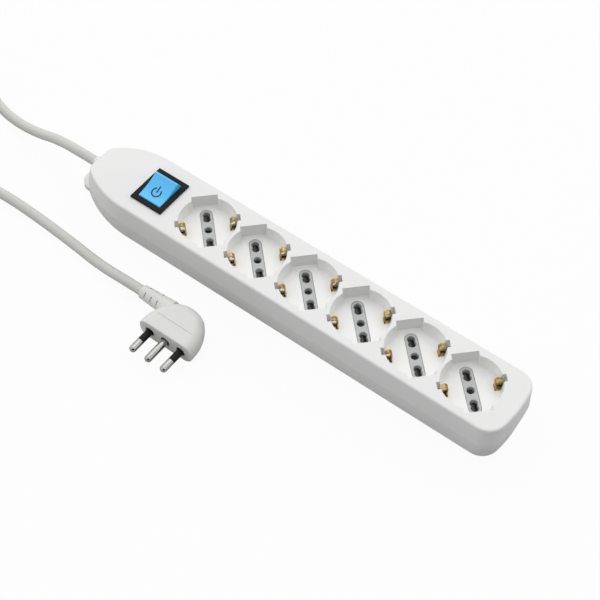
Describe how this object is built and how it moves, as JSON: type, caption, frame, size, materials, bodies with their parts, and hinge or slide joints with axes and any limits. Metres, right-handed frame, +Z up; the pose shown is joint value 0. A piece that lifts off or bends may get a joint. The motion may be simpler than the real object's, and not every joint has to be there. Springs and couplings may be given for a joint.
{
  "type": "power strip",
  "caption": "Long white power strip with a row of recessed earthed sockets, a blue rocker switch, and a coiled lead ending in a flat angled plug with round pins.",
  "frame": {"origin": "middle of the strip's underside, with the hanging ear counted in its length", "axes": "+X along the strip to its free end, +Y across it, +Z up out of the sockets"},
  "size_m": [0.559, 0.1272, 0.0432],
  "materials": {
    "housing_white": "satin moulded",
    "insert_grey": "fine matt",
    "shutter_grey": "matt",
    "spring_steel": "bright",
    "brass": "stamped strip",
    "zinc_steel": "zinc plated",
    "nickel": "nickel plated",
    "black_plastic": "satin",
    "rocker_blue": "smooth, let light through",
    "lamp_glass": "clear bulb",
    "cord_sheath": "soft extruded sheath",
    "plug_white": "satin moulded",
    "core_brown": "extruded",
    "core_blue": "extruded",
    "core_green": "extruded, green and yellow"
  },
  "bodies": {
    "housing": {"top_cover": "housing_white", "base_cover": "housing_white", "housing_screws": "zinc_steel", "socket_well_1": "housing_white", "socket_well_2": "housing_white", "socket_well_3": "housing_white", "socket_well_4": "housing_white", "socket_well_5": "housing_white", "socket_well_6": "housing_white", "socket_insert_1": "insert_grey", "socket_insert_2": "insert_grey", "socket_insert_3": "insert_grey", "socket_insert_4": "insert_grey", "socket_insert_5": "insert_grey", "socket_insert_6": "insert_grey", "shutter_spring_1": "spring_steel", "shutter_spring_2": "spring_steel", "shutter_spring_3": "spring_steel", "shutter_spring_4": "spring_steel", "shutter_spring_5": "spring_steel", "shutter_spring_6": "spring_steel", "earth_bracket_1": "brass", "earth_bracket_2": "brass", "earth_bracket_3": "brass", "earth_bracket_4": "brass", "earth_bracket_5": "brass", "earth_bracket_6": "brass", "live_bar": "brass", "neutral_bar": "brass", "earth_bar": "brass", "switch_frame": "black_plastic", "switch_terminals": "brass", "switch_lamp": "lamp_glass", "cord_gland": "housing_white", "cord_clamp": "housing_white", "clamp_screws": "zinc_steel", "cord_entry": "cord_sheath", "live_cores": "core_brown", "neutral_cores": "core_blue", "earth_core": "core_green", "gland_lead": "cord_sheath", "cord_coil": "cord_sheath", "plug_lead": "cord_sheath", "plug_body": "plug_white", "plug_strain_relief": "plug_white", "plug_pin_carrier": "black_plastic", "plug_live_pin": "nickel", "plug_earth_pin": "nickel", "plug_neutral_pin": "nickel", "plug_pin_sleeves": "black_plastic"},
    "rocker": {"switch_rocker": "rocker_blue", "rocker_plungers": "black_plastic"},
    "levers": {"switch_contact_levers": "brass"},
    "shutter_body_1": {"shutter_1": "shutter_grey"},
    "shutter_body_2": {"shutter_2": "shutter_grey"},
    "shutter_body_3": {"shutter_3": "shutter_grey"},
    "shutter_body_4": {"shutter_4": "shutter_grey"},
    "shutter_body_5": {"shutter_5": "shutter_grey"},
    "shutter_body_6": {"shutter_6": "shutter_grey"}
  },
  "joints": [
    {"name": "rocker_hinge", "type": "hinge", "parent": "housing", "child": "rocker", "pos_m": [-0.10787, 0, 0.0344], "axis": [1, 0, 0], "range_deg": [-34, 0]},
    {"name": "lever_tilt", "type": "hinge", "parent": "housing", "child": "levers", "pos_m": [-0.10787, 0, 0.02535], "axis": [1, 0, 0], "range_deg": [0, 10]},
    {"name": "shutter_slide_1", "type": "slide", "parent": "housing", "child": "shutter_body_1", "axis": [-0.7071, -0.7071, 0], "range_m": [0, 0.0046], "stiffness_N_per_m": 150, "springref_m": -0.002, "deforming": ["shutter_spring_1"]},
    {"name": "shutter_slide_2", "type": "slide", "parent": "housing", "child": "shutter_body_2", "axis": [-0.7071, -0.7071, 0], "range_m": [0, 0.0046], "stiffness_N_per_m": 150, "springref_m": -0.002, "deforming": ["shutter_spring_2"]},
    {"name": "shutter_slide_3", "type": "slide", "parent": "housing", "child": "shutter_body_3", "axis": [-0.7071, -0.7071, 0], "range_m": [0, 0.0046], "stiffness_N_per_m": 150, "springref_m": -0.002, "deforming": ["shutter_spring_3"]},
    {"name": "shutter_slide_4", "type": "slide", "parent": "housing", "child": "shutter_body_4", "axis": [-0.7071, -0.7071, 0], "range_m": [0, 0.0046], "stiffness_N_per_m": 150, "springref_m": -0.002, "deforming": ["shutter_spring_4"]},
    {"name": "shutter_slide_5", "type": "slide", "parent": "housing", "child": "shutter_body_5", "axis": [-0.7071, -0.7071, 0], "range_m": [0, 0.0046], "stiffness_N_per_m": 150, "springref_m": -0.002, "deforming": ["shutter_spring_5"]},
    {"name": "shutter_slide_6", "type": "slide", "parent": "housing", "child": "shutter_body_6", "axis": [-0.7071, -0.7071, 0], "range_m": [0, 0.0046], "stiffness_N_per_m": 150, "springref_m": -0.002, "deforming": ["shutter_spring_6"]}
  ],
  "couplings": [
    {"joint": "lever_tilt", "follows": "rocker_hinge", "ratio": -0.29412}
  ]
}
